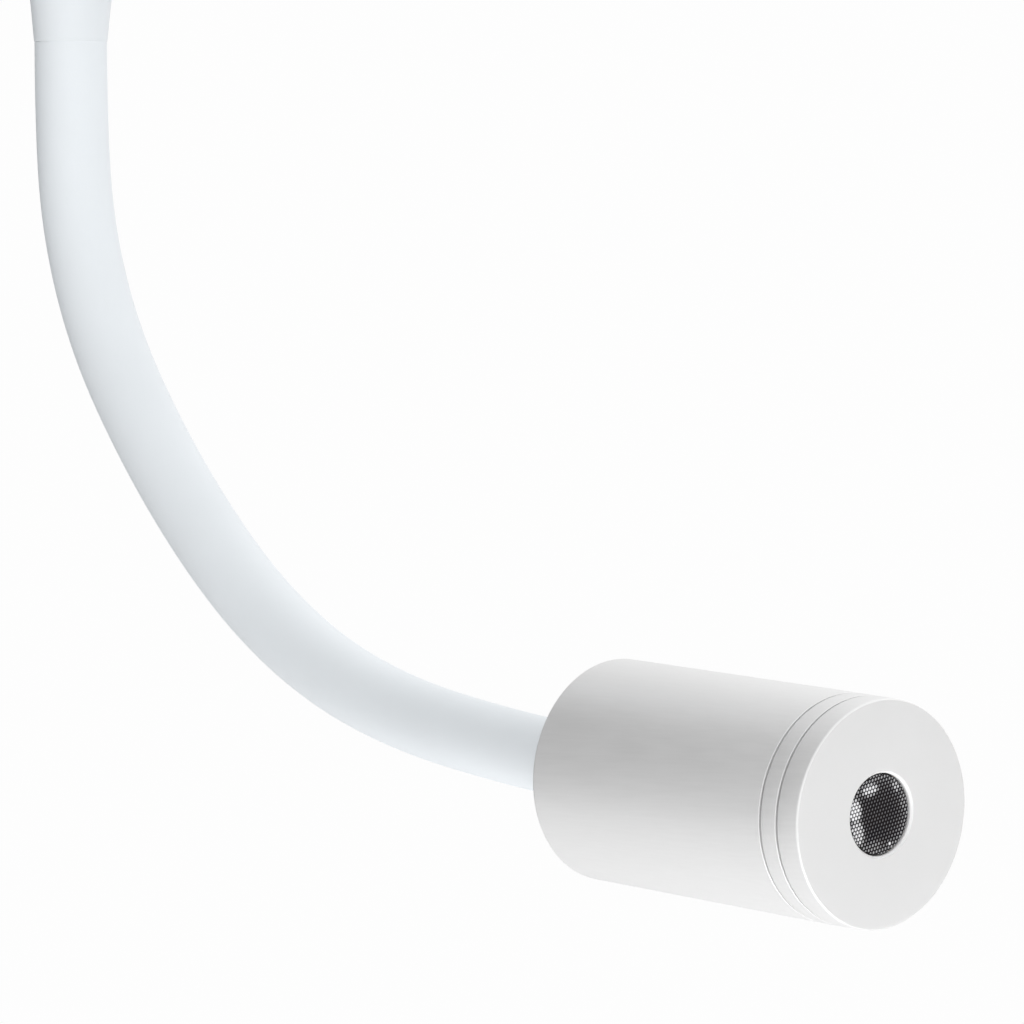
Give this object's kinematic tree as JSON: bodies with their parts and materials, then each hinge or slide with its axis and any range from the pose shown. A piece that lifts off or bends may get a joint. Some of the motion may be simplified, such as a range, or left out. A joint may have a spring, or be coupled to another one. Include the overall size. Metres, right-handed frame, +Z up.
{
  "type": "examination lamp",
  "caption": "Wall-mounted examination lamp: small housing with a rocker switch, flexible neck on a swivel, and a cylindrical light head with a turning dimmer ring and a micro-lens window.",
  "frame": {"origin": "middle of the wall plate's back face, on the wall", "axes": "+Y into the wall, +Z up, +X to the right as seen from the room; the neck bends in the plane x = 0 and the lamp reaches out along -Y"},
  "size_m": [0.0816, 0.2935, 0.3494],
  "materials": {
    "white_housing": "satin",
    "white_sheath": "matte",
    "white_collar": "satin",
    "satin_aluminium": "satin",
    "raw_aluminium": "satin",
    "steel": "satin",
    "front_cap": "satin",
    "lens": "gloss",
    "black_plastic": "matte",
    "circuit_board": "satin",
    "lamp_board": "satin",
    "rubber": "matte",
    "phosphor": "satin",
    "winding_tape": "satin",
    "lead_insulation": "satin"
  },
  "bodies": {
    "root": {"wall_plate": "raw_aluminium", "base_housing": "white_housing", "cover_screw_left": "steel", "cover_screw_right": "steel", "inlet_grommet": "rubber", "driver_board": "circuit_board", "transformer": "winding_tape", "capacitor": "black_plastic", "terminal_block": "circuit_board", "base_lead": "lead_insulation", "switch_body": "black_plastic", "swivel_bush": "black_plastic", "friction_washer": "steel"},
    "swivel": {"stem_nut": "steel", "swivel_stem": "steel", "neck_collar": "white_collar", "neck_upper_ferrule": "raw_aluminium", "sheath_link_00": "white_sheath", "core_link_00": "steel"},
    "neck_01": {"sheath_link_01": "white_sheath", "core_link_01": "steel"},
    "neck_02": {"sheath_link_02": "white_sheath", "core_link_02": "steel"},
    "neck_03": {"sheath_link_03": "white_sheath", "core_link_03": "steel"},
    "neck_04": {"sheath_link_04": "white_sheath", "core_link_04": "steel"},
    "neck_05": {"sheath_link_05": "white_sheath", "core_link_05": "steel"},
    "neck_06": {"sheath_link_06": "white_sheath", "core_link_06": "steel"},
    "neck_07": {"sheath_link_07": "white_sheath", "core_link_07": "steel"},
    "neck_08": {"sheath_link_08": "white_sheath", "core_link_08": "steel"},
    "neck_09": {"sheath_link_09": "white_sheath", "core_link_09": "steel"},
    "head": {"sheath_link_10": "white_sheath", "core_link_10": "steel", "head_body": "satin_aluminium", "head_rear_cap": "satin_aluminium", "neck_lower_ferrule": "white_collar", "ferrule_nut": "steel", "front_cap": "front_cap", "lens": "lens", "lens_holder": "black_plastic", "lens_gasket": "rubber", "heat_sink": "raw_aluminium", "thermal_pad": "rubber", "led_board": "lamp_board", "led_package": "phosphor", "board_screw_1": "steel", "board_screw_2": "steel", "sensor_board": "circuit_board", "head_lead": "lead_insulation"},
    "ring": {"dimmer_ring": "satin_aluminium", "ring_magnet": "steel"},
    "rocker": {"rocker": "black_plastic"}
  },
  "joints": [
    {"name": "rocker_press", "type": "hinge", "parent": "root", "child": "rocker", "pos_m": [0, -0.0466, 0.03], "axis": [-1, 0, 0], "range_deg": [0, 20]},
    {"name": "neck_swivel", "type": "hinge", "parent": "root", "child": "swivel", "pos_m": [0, -0.027, -0.06], "axis": [0, 0, 1], "range_deg": [-90, 90]},
    {"name": "neck_bend_1", "type": "hinge", "parent": "swivel", "child": "neck_01", "pos_m": [0, -0.027, -0.10665], "axis": [-1, 0, 0], "range_deg": [-14, 18]},
    {"name": "neck_sway_1", "type": "hinge", "parent": "neck_01", "child": "neck_02", "pos_m": [0, -0.0289, -0.13388], "axis": [0, 0.979, -0.2036], "range_deg": [-20, 20]},
    {"name": "neck_bend_2", "type": "hinge", "parent": "neck_02", "child": "neck_03", "pos_m": [0, -0.03802, -0.15962], "axis": [-1, 0, 0], "range_deg": [-18, 15]},
    {"name": "neck_sway_2", "type": "hinge", "parent": "neck_03", "child": "neck_04", "pos_m": [0, -0.05328, -0.18225], "axis": [0, 0.796, -0.6053], "range_deg": [-20, 20]},
    {"name": "neck_bend_3", "type": "hinge", "parent": "neck_04", "child": "neck_05", "pos_m": [0, -0.07101, -0.20301], "axis": [-1, 0, 0], "range_deg": [-18, 15]},
    {"name": "neck_sway_3", "type": "hinge", "parent": "neck_05", "child": "neck_06", "pos_m": [0, -0.09114, -0.22145], "axis": [0, 0.6018, -0.7986], "range_deg": [-20, 20]},
    {"name": "neck_bend_4", "type": "hinge", "parent": "neck_06", "child": "neck_07", "pos_m": [0, -0.11442, -0.23572], "axis": [-1, 0, 0], "range_deg": [-18, 15]},
    {"name": "neck_sway_4", "type": "hinge", "parent": "neck_07", "child": "neck_08", "pos_m": [0, -0.14015, -0.24483], "axis": [0, 0.2672, -0.9636], "range_deg": [-20, 20]},
    {"name": "neck_bend_5", "type": "hinge", "parent": "neck_08", "child": "neck_09", "pos_m": [0, -0.1669, -0.25027], "axis": [-1, 0, 0], "range_deg": [-18, 15]},
    {"name": "neck_sway_5", "type": "hinge", "parent": "neck_09", "child": "head", "pos_m": [0, -0.19387, -0.25454], "axis": [0, 0.1297, -0.9916], "range_deg": [-20, 20]},
    {"name": "dimmer_turn", "type": "hinge", "parent": "head", "child": "ring", "pos_m": [0, -0.28145, -0.26359], "axis": [0, -0.9947, -0.1028], "range_deg": [0, 270]}
  ]
}
